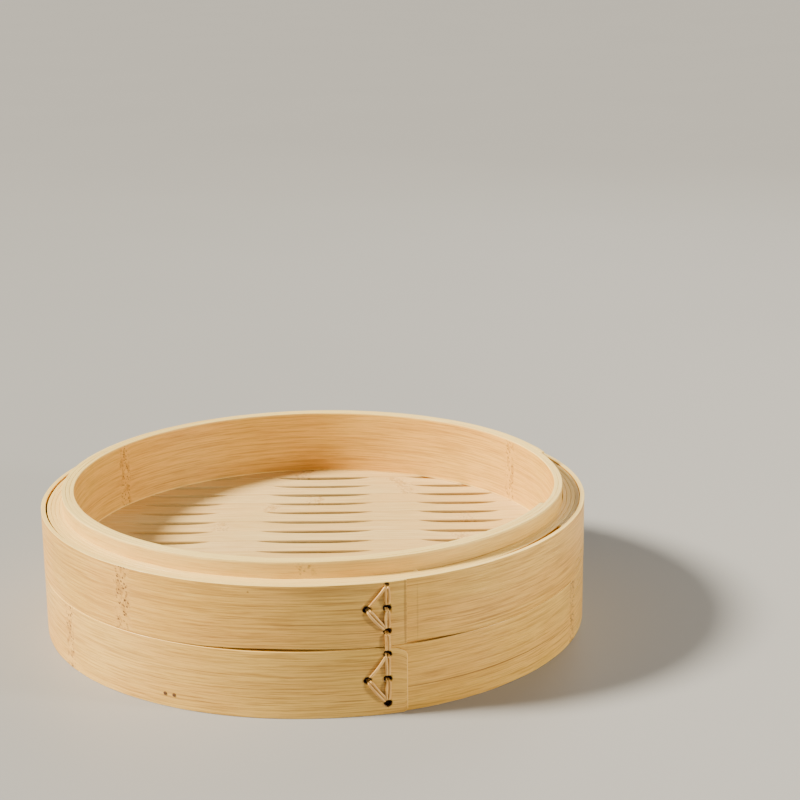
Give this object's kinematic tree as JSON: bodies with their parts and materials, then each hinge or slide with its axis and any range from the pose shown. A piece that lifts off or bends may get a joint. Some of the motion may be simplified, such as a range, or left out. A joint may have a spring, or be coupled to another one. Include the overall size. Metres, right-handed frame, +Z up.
{
  "type": "bamboo steamer basket",
  "caption": "Round bamboo steamer basket with lapped outer hoops laced with cane, a wound inner wall that stands up as a spigot, and a notched slat floor.",
  "frame": {"origin": "centre of the bottom edge, on the surface the basket stands on", "axes": "+Z up through the spigot, -Y towards the front, where the cane lacing is a little to the right; the floor slats run along X"},
  "size_m": [0.3001, 0.3, 0.077],
  "materials": {
    "outer_bamboo": "planed bamboo strip, satin",
    "packing_bamboo": "cut strip edges, matt",
    "inner_bamboo": "bamboo strip, satin",
    "slat_bamboo": "split bamboo, matt",
    "cane": "split cane, slightly glossy",
    "pin_bamboo": "dark end grain"
  },
  "bodies": {
    "root": {"upper_hoop": "outer_bamboo", "lower_hoop": "outer_bamboo", "shoulder_winding": "packing_bamboo", "inner_wall_winding": "inner_bamboo", "base_winding": "packing_bamboo", "support_winding": "inner_bamboo", "crossbar_left": "slat_bamboo", "crossbar_right": "slat_bamboo", "floor_slat_01": "slat_bamboo", "floor_slat_02": "slat_bamboo", "floor_slat_03": "slat_bamboo", "floor_slat_04": "slat_bamboo", "floor_slat_05": "slat_bamboo", "floor_slat_06": "slat_bamboo", "floor_slat_07": "slat_bamboo", "floor_slat_08": "slat_bamboo", "floor_slat_09": "slat_bamboo", "floor_slat_10": "slat_bamboo", "floor_slat_11": "slat_bamboo", "floor_slat_12": "slat_bamboo", "floor_slat_13": "slat_bamboo", "floor_slat_14": "slat_bamboo", "floor_slat_15": "slat_bamboo", "floor_slat_16": "slat_bamboo", "lap_lacing": "cane", "tie_stitch_left": "cane", "tie_stitch_right": "cane", "base_pins": "pin_bamboo"}
  },
  "joints": []
}
